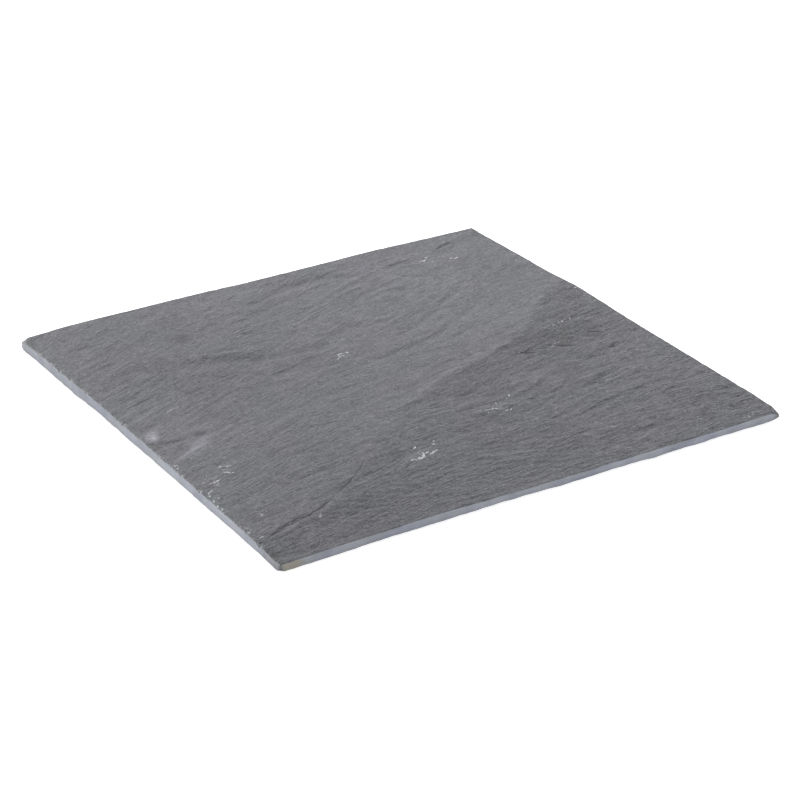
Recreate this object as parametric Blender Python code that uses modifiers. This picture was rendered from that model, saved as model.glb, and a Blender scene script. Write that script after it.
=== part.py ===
"""A square riven slate slab, 300 mm a side, standing on four stick-on anti-slip pads.

Metres, +Z up. The origin is at the middle of the base, on the plane that the pads stand on.
+X runs along the front edge, from the left corner to the right one, and +Y runs to the back.

The slab is split from the block, so its top and underside are riven: they swell and dip a
little, and the thickness changes round the edge. Its four edges are sawn straight and square.
"""

import math
from collections import namedtuple

import bmesh
import bpy
import numpy as np
from mathutils import Matrix, Vector

MM = 0.001

# Slab
SLAB_WIDTH = 300 * MM  # along X
SLAB_DEPTH = 300 * MM  # along Y
SLAB_THICKNESS = 5.4 * MM  # nominal: the edge readings below are taken from it
ARRIS_WIDTH = 0.35 * MM  # the worn line where a sawn edge meets a riven face
GRID_CELL = 12.5 * MM  # spacing of the points that carry the riven faces

# Pads
PAD_DIAMETER = 20 * MM
PAD_THICKNESS = 1.5 * MM
PAD_RIM_RADIUS = 0.3 * MM
PAD_INSET = 30 * MM  # from each sawn edge to the middle of a pad
PAD_GLUE_GAP = 0.3 * MM  # between a pad and the stone
PAD_SIDES = 40
SEAT_MARGIN = 4 * MM  # flat stone round each pad
SEAT_FADE = 30 * MM  # over which the flat seat runs out into the riven underside

UNDERSIDE = PAD_THICKNESS + PAD_GLUE_GAP
TOP = UNDERSIDE + SLAB_THICKNESS

# Height round the edge, above or below the nominal face, as (place, height) pairs.
# Place runs from -1 to 1, left to right on the front and back edges and front to back on the
# left and right ones. Each list starts and ends on its two corners.
TOP_FRONT_LEFT = -2.2 * MM
TOP_FRONT_RIGHT = -0.8 * MM
TOP_BACK_LEFT = -0.8 * MM
TOP_BACK_RIGHT = -0.4 * MM
TOP_ALONG_FRONT = ((-0.75, -1.3 * MM), (-0.4, -0.4 * MM), (0.05, -1.4 * MM), (0.6, -1.2 * MM))
TOP_ALONG_BACK = ((-0.8, 0.5 * MM), (-0.3, 0.7 * MM), (0.1, 0.0 * MM), (0.5, 0.6 * MM))
TOP_ALONG_LEFT = ((-0.7, 0.1 * MM), (-0.25, 0.8 * MM), (0.35, 1.0 * MM), (0.7, 0.2 * MM))
TOP_ALONG_RIGHT = ((-0.8, 0.2 * MM), (-0.2, 0.7 * MM), (0.5, 0.6 * MM))

UNDER_FRONT_LEFT = -0.75 * MM
UNDER_FRONT_RIGHT = -0.1 * MM
UNDER_BACK_LEFT = -1.0 * MM
UNDER_BACK_RIGHT = -0.2 * MM
UNDER_ALONG_FRONT = ((-0.45, 0.4 * MM), (-0.1, 0.7 * MM), (0.2, 0.1 * MM), (0.5, 0.15 * MM))
UNDER_ALONG_BACK = ((0.0, 0.3 * MM),)
UNDER_ALONG_LEFT = ((-0.6, 0.3 * MM), (0.15, 0.4 * MM), (0.7, -1.0 * MM))
UNDER_ALONG_RIGHT = ((0.0, 0.4 * MM),)

# The ridge where one layer of the slate ends. Its crest crosses the top from the left edge to
# the right one, and stands out most at the right. Its points are (x place, y place, height).
RIDGE = (
    (-1.0, -0.86, 0.3 * MM),
    (-0.43, -0.56, 0.2 * MM),
    (0.1, -0.18, 0.3 * MM),
    (0.58, 0.0, 0.7 * MM),
    (1.0, 0.27, 1.8 * MM),
)
RIDGE_BACK_SLOPE = 13 * MM  # the steep side, towards the back left
RIDGE_FRONT_SLOPE = 40 * MM  # the gentle side, towards the front right

# Chips broken off the corners: how far each runs along the two edges, and how deep it goes
Chip = namedtuple("Chip", "name side_x side_y along_x along_y depth from_top")
CHIPS = (
    Chip("chip_front_right", 1, -1, 5 * MM, 6.5 * MM, 2.2 * MM, True),
    Chip("chip_front_right_foot", 1, -1, 5 * MM, 5 * MM, 1.3 * MM, False),
    Chip("chip_back_left", -1, 1, 5 * MM, 5.5 * MM, 1.7 * MM, True),
    Chip("chip_back_left_foot", -1, 1, 2 * MM, 2 * MM, 1.1 * MM, False),
    Chip("chip_front_left", -1, -1, 2.2 * MM, 2.2 * MM, 1.2 * MM, False),
)
CUTTER_REACH = 30 * MM

SLATE_GREY = (0.185, 0.187, 0.203, 1.0)
PAD_BLACK = (0.022, 0.022, 0.024, 1.0)


def clear_scene():
    for leftover in list(bpy.data.objects):
        bpy.data.objects.remove(leftover, do_unlink=True)


def new_collection(name):
    collection = bpy.data.collections.new(name)
    bpy.context.scene.collection.children.link(collection)
    return collection


def plain_material(name, colour, roughness):
    material = bpy.data.materials.new(name)
    material.use_nodes = True
    shader = material.node_tree.nodes["Principled BSDF"]
    shader.inputs["Base Color"].default_value = colour
    shader.inputs["Roughness"].default_value = roughness
    shader.inputs["Metallic"].default_value = 0.0
    return material


def new_object(name, mesh, collection, material=None):
    made = bpy.data.objects.new(name, mesh)
    collection.objects.link(made)
    if material:
        mesh.materials.append(material)
    return made


def smoothstep(share):
    share = np.clip(share, 0.0, 1.0)
    return share * share * (3.0 - 2.0 * share)


def along_edge(place, first, readings, last):
    """Height at a place along one edge, running smoothly from reading to reading."""
    places = [-1.0, *(reading[0] for reading in readings), 1.0]
    heights = [first, *(reading[1] for reading in readings), last]
    for start, end, low, high in zip(places, places[1:], heights, heights[1:]):
        if place <= end:
            return low + (high - low) * smoothstep((place - start) / (end - start))
    return last


def between_edges(u, v, front, back, left, right, corners):
    """Height inside the slab, blended from the heights round its edge."""
    front_left, front_right, back_left, back_right = corners
    across = (u + 1.0) / 2.0
    deep = (v + 1.0) / 2.0
    front_to_back = (1.0 - deep) * along_edge(u, front_left, front, front_right)
    front_to_back += deep * along_edge(u, back_left, back, back_right)
    left_to_right = (1.0 - across) * along_edge(v, front_left, left, back_left)
    left_to_right += across * along_edge(v, front_right, right, back_right)
    corner_share = (1.0 - deep) * ((1.0 - across) * front_left + across * front_right)
    corner_share += deep * ((1.0 - across) * back_left + across * back_right)
    return front_to_back + left_to_right - corner_share


def ridge_height(x, y):
    """Height that the ridge adds: full on its crest, and gone two slopes away from it."""
    point = Vector((x, y))
    nearest = None
    for start, end in zip(RIDGE, RIDGE[1:]):
        a = Vector((start[0] * SLAB_WIDTH / 2, start[1] * SLAB_DEPTH / 2))
        b = Vector((end[0] * SLAB_WIDTH / 2, end[1] * SLAB_DEPTH / 2))
        share = min(max((point - a).dot(b - a) / (b - a).length_squared, 0.0), 1.0)
        away = (point - a.lerp(b, share)).length
        behind = (b - a).cross(point - a) > 0.0
        height = start[2] + (end[2] - start[2]) * share
        if nearest is None or away < nearest[0]:
            nearest = (away, height, behind)
    away, height, behind = nearest
    slope = RIDGE_BACK_SLOPE if behind else RIDGE_FRONT_SLOPE
    return height * math.exp(-((away / slope) ** 2))


def top_height(x, y):
    u = 2.0 * x / SLAB_WIDTH
    v = 2.0 * y / SLAB_DEPTH
    corners = (TOP_FRONT_LEFT, TOP_FRONT_RIGHT, TOP_BACK_LEFT, TOP_BACK_RIGHT)
    swell = between_edges(
        u, v, TOP_ALONG_FRONT, TOP_ALONG_BACK, TOP_ALONG_LEFT, TOP_ALONG_RIGHT, corners
    )
    return TOP + swell + ridge_height(x, y)


def pad_centres():
    reach_x = SLAB_WIDTH / 2 - PAD_INSET
    reach_y = SLAB_DEPTH / 2 - PAD_INSET
    return {
        "pad_front_left": (-reach_x, -reach_y),
        "pad_front_right": (reach_x, -reach_y),
        "pad_back_left": (-reach_x, reach_y),
        "pad_back_right": (reach_x, reach_y),
    }


def seat_share(x, y):
    """0 on the flat seats over the pads, 1 where the riven underside is at its full height."""
    share = 1.0
    flat = PAD_DIAMETER / 2 + SEAT_MARGIN
    for centre_x, centre_y in pad_centres().values():
        away = math.hypot(x - centre_x, y - centre_y)
        share = min(share, smoothstep((away - flat) / SEAT_FADE))
    return share


def underside_height(x, y):
    u = 2.0 * x / SLAB_WIDTH
    v = 2.0 * y / SLAB_DEPTH
    corners = (UNDER_FRONT_LEFT, UNDER_FRONT_RIGHT, UNDER_BACK_LEFT, UNDER_BACK_RIGHT)
    swell = between_edges(
        u, v, UNDER_ALONG_FRONT, UNDER_ALONG_BACK, UNDER_ALONG_LEFT, UNDER_ALONG_RIGHT, corners
    )
    return UNDERSIDE + swell * seat_share(x, y)


def slab_mesh():
    """A grid for the riven top, extruded down into the riven underside."""
    mesh = bpy.data.meshes.new("slate_slab")
    grid = bmesh.new()
    bmesh.ops.create_grid(
        grid,
        x_segments=round(SLAB_WIDTH / GRID_CELL),
        y_segments=round(SLAB_DEPTH / GRID_CELL),
        size=0.5,
    )
    bmesh.ops.scale(grid, vec=(SLAB_WIDTH, SLAB_DEPTH, 1.0), verts=grid.verts)
    extruded = bmesh.ops.extrude_face_region(grid, geom=grid.faces[:])
    lower = {element for element in extruded["geom"] if isinstance(element, bmesh.types.BMVert)}
    for point in grid.verts:
        height = underside_height if point in lower else top_height
        point.co.z = height(point.co.x, point.co.y)
    bmesh.ops.recalc_face_normals(grid, faces=grid.faces)
    grid.to_mesh(mesh)
    grid.free()
    return mesh


def wear_arrises(slab):
    arris = slab.modifiers.new("worn_arris", "BEVEL")
    arris.width = ARRIS_WIDTH
    arris.segments = 1
    arris.limit_method = "ANGLE"
    arris.angle_limit = math.radians(60)


def chip_cutter(chip, cutters):
    """A block whose lower face lies on the break: a plane through three points near the corner."""
    corner = Vector((chip.side_x * SLAB_WIDTH / 2, chip.side_y * SLAB_DEPTH / 2, 0.0))
    face = top_height if chip.from_top else underside_height
    inward = -1.0 if chip.from_top else 1.0
    on_front_or_back = corner - Vector((chip.side_x * chip.along_x, 0.0, 0.0))
    on_left_or_right = corner - Vector((0.0, chip.side_y * chip.along_y, 0.0))
    on_front_or_back.z = face(on_front_or_back.x, on_front_or_back.y)
    on_left_or_right.z = face(on_left_or_right.x, on_left_or_right.y)
    corner.z = face(corner.x, corner.y) + inward * chip.depth
    outward = (on_front_or_back - corner).cross(on_left_or_right - corner).normalized()
    if outward.x * chip.side_x < 0.0:
        outward.negate()
    middle = (on_front_or_back + on_left_or_right + corner) / 3
    block = bmesh.new()
    bmesh.ops.create_cube(block, size=CUTTER_REACH)
    place = Matrix.Translation(middle) @ outward.to_track_quat("Z", "Y").to_matrix().to_4x4()
    bmesh.ops.transform(
        block,
        matrix=place @ Matrix.Translation((0.0, 0.0, CUTTER_REACH / 2)),
        verts=block.verts,
    )
    mesh = bpy.data.meshes.new(chip.name)
    block.to_mesh(mesh)
    block.free()
    cutter = new_object(chip.name, mesh, cutters)
    cutter.hide_render = True
    cutter.display_type = "WIRE"
    return cutter


def build_slab(parts, cutters, slate):
    slab = new_object("slate_slab", slab_mesh(), parts, slate)
    wear_arrises(slab)
    for chip in CHIPS:
        cut = slab.modifiers.new(chip.name, "BOOLEAN")
        cut.operation = "DIFFERENCE"
        cut.solver = "EXACT"
        cut.object = chip_cutter(chip, cutters)
    return slab


def pad_mesh():
    """A turned disc: its profile runs down the outer side, from the glued face to the foot."""
    radius = PAD_DIAMETER / 2
    rim = min(PAD_RIM_RADIUS, PAD_THICKNESS / 3)
    profile = (
        (0.0, PAD_THICKNESS),
        (radius - rim, PAD_THICKNESS),
        (radius, PAD_THICKNESS - rim),
        (radius, rim),
        (radius - rim, 0.0),
        (0.0, 0.0),
    )
    mesh = bpy.data.meshes.new("pad")
    line = bmesh.new()
    points = [line.verts.new((across, 0.0, height)) for across, height in profile]
    for upper, lower in zip(points, points[1:]):
        line.edges.new((upper, lower))
    line.to_mesh(mesh)
    line.free()
    return mesh


def build_pad(name, centre, mesh, parts):
    pad = new_object(name, mesh, parts)
    pad.location = (*centre, 0.0)
    turn = pad.modifiers.new("turned", "SCREW")
    turn.axis = "Z"
    turn.steps = PAD_SIDES
    turn.render_steps = PAD_SIDES
    turn.use_merge_vertices = True
    turn.merge_threshold = 0.00005
    return pad


def main():
    clear_scene()
    parts = new_collection("slate_slab_on_pads")
    cutters = new_collection("cutters")
    build_slab(parts, cutters, plain_material("slate", SLATE_GREY, 0.75))
    mesh = pad_mesh()
    mesh.materials.append(plain_material("pad_rubber", PAD_BLACK, 0.85))
    for name, centre in pad_centres().items():
        build_pad(name, centre, mesh, parts)


main()
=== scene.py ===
"""A riven slate slab on four anti-slip pads: its finished surfaces, its floor, lights and camera.

Metres, +Z up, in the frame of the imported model: +X runs along the front edge from left to right,
and +Y runs to the back. The relief of the stone is worked out in millimetres, and MM turns it
into metres where the mesh is made.
"""

import math
from collections import namedtuple

import bmesh
import bpy
import numpy as np
from mathutils import Matrix, Vector
from mathutils.bvhtree import BVHTree


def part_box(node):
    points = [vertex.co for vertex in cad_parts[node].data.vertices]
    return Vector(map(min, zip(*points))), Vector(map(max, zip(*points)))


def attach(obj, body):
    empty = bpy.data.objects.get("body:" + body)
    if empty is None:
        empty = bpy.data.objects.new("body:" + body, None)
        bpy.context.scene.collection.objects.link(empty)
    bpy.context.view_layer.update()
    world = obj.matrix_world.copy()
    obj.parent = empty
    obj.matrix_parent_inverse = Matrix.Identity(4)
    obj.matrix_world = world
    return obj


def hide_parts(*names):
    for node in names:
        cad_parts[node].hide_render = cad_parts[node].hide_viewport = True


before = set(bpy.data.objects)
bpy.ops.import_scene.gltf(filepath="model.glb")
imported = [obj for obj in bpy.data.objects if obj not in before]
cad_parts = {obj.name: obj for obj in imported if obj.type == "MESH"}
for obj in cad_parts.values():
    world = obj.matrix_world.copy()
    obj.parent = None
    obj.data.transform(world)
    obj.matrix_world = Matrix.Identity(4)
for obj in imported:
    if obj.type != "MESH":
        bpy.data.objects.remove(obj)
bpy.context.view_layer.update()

MM = 0.001
PADS = ("pad_front_left", "pad_front_right", "pad_back_left", "pad_back_right")

# The stone's mesh
NEAR_EDGE = (0.0, 0.35, 0.8, 1.4, 2.2)  # mm from a sawn edge to the closely spaced grid lines
INNER_CELLS = 259  # even cells between them; with the close ones the count divides by three
UNDER_EVERY = 3  # the underside keeps every third grid line
SIDE_ROWS = (0.0, 0.12, 0.38, 0.64, 0.9, 1.0)  # rows down a sawn face, as shares of its height
CORNER_RADIUS = 0.6  # mm, of the slab's outline in plan
FOOT_ARRIS = 0.1  # mm worn off the lower arris
SAWN_INSET = 0.03  # mm that the sawn faces lie inside the outline
SAWN_WAVE = 0.04  # mm either way, along the sawn faces
TOP_FACE, SAWN_FACE, UNDER_FACE = range(3)

# The broad swell of the stone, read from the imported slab
SAMPLE_STEP = 2.5  # mm
SAMPLE_INSET = 1.0  # mm kept clear of the arris
SAMPLE_BLUR = 2.2  # in sample steps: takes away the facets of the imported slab
CORNER_CLEAR = 13.0  # mm square at each corner that its chip may reach

# Chips off the corners: side, how far each runs along the two edges, and how deep it goes, in mm
Chip = namedtuple("Chip", "side_x side_y along_x along_y depth")
TOP_CHIPS = (Chip(1, -1, 5.0, 6.5, 2.2), Chip(-1, 1, 5.0, 5.5, 1.7))
UNDER_CHIPS = (
    Chip(-1, -1, 2.2, 2.2, 1.2), Chip(1, -1, 5.0, 5.0, 1.3), Chip(-1, 1, 2.0, 2.0, 1.1),
)
CHIP_ROUGHNESS = 0.16  # mm

# Nicks along the arrises of each sawn edge, from none to about 1.5
EDGE_RAGGED = {"left": 1.45, "front": 0.25, "back": 0.15, "right": 0.12}

# The grain of the slate fans out a little from right to left
GRAIN_TILT = 0.25
GRAIN_FAN = 0.0011  # per mm

# Ripples along the grain, on rough stone: height, length and width in mm
Ripples = namedtuple("Ripples", "height length width seed")
RIPPLES = (Ripples(0.25, 16.0, 6.2, 31), Ripples(0.20, 8.5, 3.2, 33))
TERRACE_SPACING = 10.5  # mm between the ends of thicker layers
TERRACE_HEIGHT = 0.26
TERRACE_FALL = 0.2  # share of the spacing
SMOOTH_STRENGTH = 0.6  # of the ripples on smooth stone, where rough stone has 1

# Where the upper layer ends. Behind this line the stone is smooth, and before it rougher.
LAYER_EDGE = (
    (-150, -128), (-125, -120), (-100, -111), (-75, -91), (-45, -69), (-20, -52),
    (15, -27), (45, -15), (75, -5), (88, 1), (112, 24), (128, 38), (150, 50),
)

LAYER_STEP = 0.30  # mm down before the edge
LAYER_LIP = 0.08
# Painted shade on the stone just before the edge
SHELF_SHADE = -0.15  # of the stone before the edge

# The same on the underside
UNDER_LAYER_EDGE = (
    (-150, 40), (-110, 52), (-60, 34), (-10, 6), (40, -12), (95, -20), (150, -58),
)
UNDER_LAYER_STEP = 0.5
# Painted shade before the underside's layer edge
UNDER_SHELF_SHADE = -0.16
UNDER_STREAK_TONE = 0.10
UNDER_ROUGHNESS = 0.6
UNDER_SHIFT = 400.0  # mm along the pattern from the top's, so that the two faces differ

# Cracks and torn edges of layers: points, half width and depth, in mm
Crack = namedtuple("Crack", "points half_width depth")
CRACKS = (
    Crack(((-145, -126.5), (-141, -125), (-135, -124), (-125, -120), (-115, -118.5), (-107, -115),
           (-98, -110)), 0.46, 0.30),
    Crack(((-112, -117.5), (-105, -115), (-99, -110), (-90, -104.5), (-84, -101.5), (-77, -96),
           (-64, -84)), 0.20, 0.13),
    Crack(((-138, -123), (-128, -119.5), (-117, -116.5)), 0.3, 0.2),
    Crack(((68, -20), (74, -21.5), (81, -25)), 0.8, 0.55),
    Crack(((82, -20.5), (88, -22.5), (92, -21), (97, -24.5), (106, -28.5)), 0.5, 0.42),
    Crack(((100, -17), (108, -14.5), (114, -15.5)), 0.35, 0.3),
    Crack(((117, -16), (123, -18), (129, -22.5)), 0.7, 0.45),
    Crack(((118, -39.5), (124, -38.5)), 0.5, 0.3),
    Crack(((42, -68.5), (47, -69.5), (53, -72)), 0.35, 0.25),
    Crack(((109, -107), (114, -107.5)), 0.6, 0.3),
    Crack(((136, -125), (146, -125)), 0.5, 0.3),
    Crack(((112, 130.5), (118, 134), (127, 137)), 0.65, 0.4),
    Crack(((-47, 85.5), (-42, 83), (-36, 82)), 0.45, 0.3),
    Crack(((-133, 116), (-126, 116.5), (-119, 116)), 0.35, 0.25),
)

# White quartz veins: points and half width, in mm
Vein = namedtuple("Vein", "points half_width")
VEINS = (
    Vein(((-18, 25), (-14.5, 27.5), (-13, 31), (-12, 32.5), (-8, 31.5), (-4.5, 34.5)), 0.4),
    Vein(((-132, -49.5), (-128, -52), (-123.5, -53)), 0.5),
    Vein(((-131.5, -57), (-129, -59), (-126.5, -60)), 0.65),
    Vein(((-141.6, -64.9), (-137.8, -63.2), (-134.8, -62.6)), 0.45),
    Vein(((-141, -66), (-139.5, -67.2), (-138, -67.6)), 0.4),
    Vein(((-149, -74.5), (-145.5, -71), (-142.5, -69.5)), 0.5),
    Vein(((-128, 15), (-124, 18.5), (-119.5, 20), (-116, 18.5)), 0.16),
    Vein(((-46, -97.5), (-42, -98.5), (-36, -97)), 0.8),
    Vein(((-35, -96.5), (-28, -95)), 0.55),
    Vein(((16, -66), (22, -69), (30, -71)), 0.35),
    Vein(((92, 120), (98, 121), (103, 124)), 0.35),
)

# Single white flecks: place and half length along the grain, in mm
FLECKS = (
    (-44, -97.5, 1.1), (-40, -98, 1.3), (-37, -97, 0.9), (-30, -95, 1.0), (-36, -86, 0.7),
    (-25, -87, 0.9), (16, -66.5, 0.7), (19, -71, 0.6), (23, -69, 0.5), (28, -64, 1.0),
    (29, -74, 1.2), (32, -73, 0.7), (39, -60, 1.2), (36, -62, 0.6), (41, -66, 0.5),
    (97, 120, 1.2), (101, 124, 1.1), (99, 121, 0.8), (113, 115, 1.0), (116, 114, 1.2),
    (110, 97, 0.6), (121, 2, 0.8), (125, -1, 1.0), (115, 1, 0.7), (-112, -122, 0.5),
    (-135, -104, 0.6), (130, -146, 0.8), (133, -145, 0.6), (137, -143, 0.5), (-146, -79, 0.9),
    (-148, -75, 0.8), (-140, -55, 0.5), (-144, -61, 0.4), (-131, 51, 0.6), (148, 26, 0.7),
    (148, 36, 0.8), (147, 15, 0.6), (-148, -40, 0.7), (-149, -90, 0.7), (86, 66, 0.5),
    (-7, 31, 0.8), (-11, 28.5, 0.7), (-149.3, -68, 1.0), (-142, -56, 0.4), (-127.5, -59.5, 1.2),
    (-129.5, -51, 1.1), (-137.5, -63.5, 0.9), (-36.5, -95.5, 1.9), (-33.5, -94, 1.5),
    (-39, -97, 1.2), (-28, -94, 0.9), (-35, -85.5, 0.8), (-23, -84, 0.8), (-147.5, -37, 0.8),
    (-149, -81, 0.9), (-149.2, -86, 0.8), (-148.5, -117, 0.7), (-145, -124, 0.7),
    (-135.5, -106, 0.6),
)

# Zones sprinkled with quartz specks: place and half sizes, in mm
SPECKLED = (
    (28, -68, 15, 7), (-36, -93, 12, 6), (105, 119, 14, 5), (108, -1, 18, 5), (-139, -63, 8, 9),
    (-150, -84, 3, 26), (-150, -113, 3, 10), (-150, -22, 2.5, 12), (-11, 30, 9, 6),
    (-112, -121, 5, 4), (-134, -104, 6, 4), (133, -145, 9, 4), (147, 25, 4, 18),
    (-149, -35, 4, 14), (92, -22, 16, 4), (-118, 20, 7, 3), (-148, -112, 4, 12),
)

# Soft hollows and lips of the riven faces: points, half width and height, in mm
Fold = namedtuple("Fold", "points half_width height")
FOLDS = (
    Fold(((-18, 122), (5, 131), (22, 136), (35, 133), (46, 128)), 4.2, -0.75),
    Fold(((-36, 101), (-22, 110), (-8, 117)), 3.0, -0.34),
    Fold(((-94, 68), (-75, 63), (-56, 54), (-40, 49), (-15, 49), (0, 56), (14, 64)), 4.4, -0.50),
    Fold(((-92, 76), (-76, 69), (-58, 65), (-47, 66)), 2.2, 0.34),
    Fold(((-64, 39.5), (-50, 42), (-25, 41.5)), 1.6, 0.28),
    Fold(((-113, 62), (-96, 58), (-80, 50), (-66, 41)), 2.4, 0.20),
    Fold(((-132, 60), (-126, 68), (-116, 71)), 2.2, 0.20),
    Fold(((-24, 12), (0, 17), (25, 21), (47, 26), (62, 34), (87, 50), (100, 62), (106, 77),
          (110, 88)), 2.2, -0.38),
    Fold(((20, 32), (40, 42), (65, 55), (85, 72), (92, 86), (89, 98), (75, 107)), 2.4, -0.38),
    Fold(((-36, 101), (-10, 111), (25, 121), (62, 125), (88, 124)), 2.2, -0.30),
    Fold(((-16, -41), (-5, -35), (10, -27.5), (17, -24), (40, -17), (57, -11), (76, -4.5)),
         2.9, 0.36),
    Fold(((15, -32), (35, -26), (50, -22)), 1.8, -0.28),
    Fold(((10, -50), (35, -42), (60, -34)), 1.7, -0.20),
    Fold(((87, -2), (100, -0.5), (112, 0), (127, -0.5)), 2.2, 0.30),
    Fold(((95, -10), (108, -16), (122, -22)), 4.5, -0.34),
    Fold(((-138, -10.5), (-125, -7.5), (-104, -9)), 1.8, 0.24),
    Fold(((-144, -33), (-129, -25.5), (-117, -20), (-104, -15)), 2.2, 0.40),
    Fold(((-147, -9), (-134, -13), (-120, -12)), 2.4, -0.34),
    Fold(((-150, -2), (-140, 4)), 4.0, 0.34),
    Fold(((-92, -82), (-67, -81)), 1.5, -0.24),
    Fold(((112, 128), (125, 133), (150, 144)), 3.5, -0.34),
    Fold(((-150, -88), (-120, -84), (-90, -80)), 3.0, -0.18),
)

# Patches of tone, some of them painted shade in hollows and at corners: place, half sizes, turn in
# degrees, lighter or darker, warmer or cooler
Patch = namedtuple("Patch", "x y half_x half_y turn light warm")
PATCHES = (
    Patch(-143.3, -2.5, 2.9, 5.2, -31, 1.45, 0.4),
    Patch(-143.5, -5.0, 1.8, 2.6, -31, 0.70, 0.2),
    Patch(-144, -12, 8, 3, 10, -0.22, 0.1),
    Patch(-136, 5, 10, 5, 25, 0.12, 0.2),
    Patch(-133, -28, 15, 3.6, 30, 0.44, 0.1),
    Patch(-126, -22, 6, 4.0, 30, 0.40, 0.1),
    Patch(-115, -6, 17, 4, 12, 0.14, 0.0),
    # Painted shade along the long hollow on the left
    Patch(-62, 57, 24, 7, -22, -0.16, 0.2),
    Patch(-76, 97, 8, 7, 0, -0.18, 0.9),
    # The next two are painted shade in the arc-shaped groove near the back edge
    Patch(-9, 118, 7, 5, 40, -0.22, 0.9),
    Patch(20, 133, 24, 5, 12, -0.20, 0.5),
    Patch(112, 110, 14, 12, 0, -0.04, 1.0),
    Patch(-128, 116, 9, 4, 0, -0.16, 0.3),
    Patch(128, 14, 20, 8, 38, -0.08, 0.8),
    Patch(107, -14, 24, 11, -8, -0.18, 0.2),
    Patch(40, -33, 36, 9, 16, -0.14, 0.4),
    Patch(-100, 35, 10, 6, 0, -0.10, 0.9),
    Patch(-135, -103, 8, 5, 0, -0.16, 0.3),
    Patch(42, -15, 38, 3.5, 18, 0.18, -0.3),
    Patch(85, 60, 60, 45, 30, 0.10, -0.5),
    Patch(67, -50, 7, 11, 0, 0.18, -0.2),
    Patch(-149, -141, 3.5, 13, 0, -0.34, 0.2),
    Patch(-150, -147.5, 2.2, 5.0, 0, -0.14, 0.1),
    Patch(-150, 141, 3, 14, 0, -0.16, 0.0),
    # Painted shade: the dark strip down the rounded front left corner
    Patch(-149.4, -150, 1.6, 1.4, 0, -0.42, -0.2),
    # Painted shade on the chip at the front right corner
    Patch(150, -150, 3.0, 4.5, 0, -0.40, 0.3),
    Patch(-112, 90, 66, 80, 0, -0.18, 0.0),
    Patch(30, -142, 130, 10, 0, 0.05, 0.0),
    Patch(-60, -92, 95, 18, 0, -0.07, 0.0),
)

# The swirl of thin layers towards the back right
SWIRL_X = 52.0
SWIRL_Y = 85.0
SWIRL_TURN = 22.0  # degrees
SWIRL_HALF_LONG = 75.0
SWIRL_HALF_WIDE = 35.0
SWIRL_RING = 7.5
SWIRL_HEIGHT = 0.40
SWIRL_FALL = 0.3  # share of a ring

# The ochre stain on the front sawn face, at the front left corner, in mm
STAIN_FULL = 12.5  # from the corner
STAIN_GONE = 20.5
STAIN_WAVER = 8.0  # with the stone's layers

# Zones of small waves along the front edge: place, half sizes and spacing in mm, turn in degrees
Waves = namedtuple("Waves", "x y half_long half_wide turn spacing")
WAVES = (
    Waves(-86, -127, 46, 20, -28, 4.6),
    Waves(4, -119, 52, 26, -17, 5.2),
)
WAVE_HEIGHT = 0.46
WAVE_FALL = 0.3  # share of a wave
WAVES_CALM = 0.72  # how much of the ripples the waves take away

NOISE_TABLE = 128


# ---- Shaping tools -------------------------------------------------------------------------


def smoothstep(share):
    share = np.clip(share, 0.0, 1.0)
    return share * share * (3.0 - 2.0 * share)


def noise(u, v, seed):
    """Smooth noise, about -1 to 1, whose features are about one unit of u and v across."""
    angle = np.random.default_rng(seed).uniform(0.0, 2.0 * math.pi, (NOISE_TABLE, NOISE_TABLE))
    across = np.cos(angle)
    along = np.sin(angle)
    cell_u = np.floor(u).astype(int)
    cell_v = np.floor(v).astype(int)
    part_u = u - cell_u
    part_v = v - cell_v
    ease_u = part_u**3 * (part_u * (part_u * 6.0 - 15.0) + 10.0)
    ease_v = part_v**3 * (part_v * (part_v * 6.0 - 15.0) + 10.0)
    total = 0.0
    for step_u, weight_u in ((0, 1.0 - ease_u), (1, ease_u)):
        for step_v, weight_v in ((0, 1.0 - ease_v), (1, ease_v)):
            row = (cell_u + step_u) % NOISE_TABLE
            column = (cell_v + step_v) % NOISE_TABLE
            slope = across[row, column] * (part_u - step_u) + along[row, column] * (part_v - step_v)
            total = total + slope * weight_u * weight_v
    return total * 1.6


def layered_noise(u, v, seed, layers=3, fade=0.5):
    total = 0.0
    for layer in range(layers):
        total = total + noise(u * 2**layer, v * 2**layer, seed + layer) * fade**layer
    return total


def sawtooth(phase, fall=0.14):
    """Rises slowly from -0.5 to 0.5 over a unit of phase, and falls over the last share of it."""
    part = phase - np.floor(phase)
    rise = part / (1.0 - fall)
    drop = (1.0 - part) / fall
    return np.minimum(rise, drop) - 0.5


def blur(field, spread):
    """Gaussian blur that keeps the slope at the borders."""
    reach = int(math.ceil(3 * spread))
    kernel = np.exp(-0.5 * (np.arange(-reach, reach + 1) / spread) ** 2)
    kernel /= kernel.sum()
    for axis in (0, 1):
        margin = [(reach, reach) if axis == side else (0, 0) for side in (0, 1)]
        padded = np.pad(field, margin, mode="reflect", reflect_type="odd")
        field = np.apply_along_axis(np.convolve, axis, padded, kernel, "valid")
    return field


def distance_to_line(x, y, points):
    nearest = np.full(np.shape(x), np.inf)
    for (ax, ay), (bx, by) in zip(points, points[1:]):
        long_x, long_y = bx - ax, by - ay
        share = ((x - ax) * long_x + (y - ay) * long_y) / (long_x**2 + long_y**2)
        share = np.clip(share, 0.0, 1.0)
        away = np.hypot(x - ax - share * long_x, y - ay - share * long_y)
        nearest = np.minimum(nearest, away)
    return nearest


def offset_from_line(x, y, points):
    """Signed distance behind a line whose points run from left to right."""
    places = np.array(points, float)
    slope = np.gradient(places[:, 1], places[:, 0])
    lean = np.interp(x, places[:, 0], slope)
    return (y - np.interp(x, places[:, 0], places[:, 1])) / np.hypot(1.0, lean)


def turned(x, y, degrees):
    turn = math.radians(degrees)
    return x * math.cos(turn) + y * math.sin(turn), y * math.cos(turn) - x * math.sin(turn)


# ---- The stone -----------------------------------------------------------------------------


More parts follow.
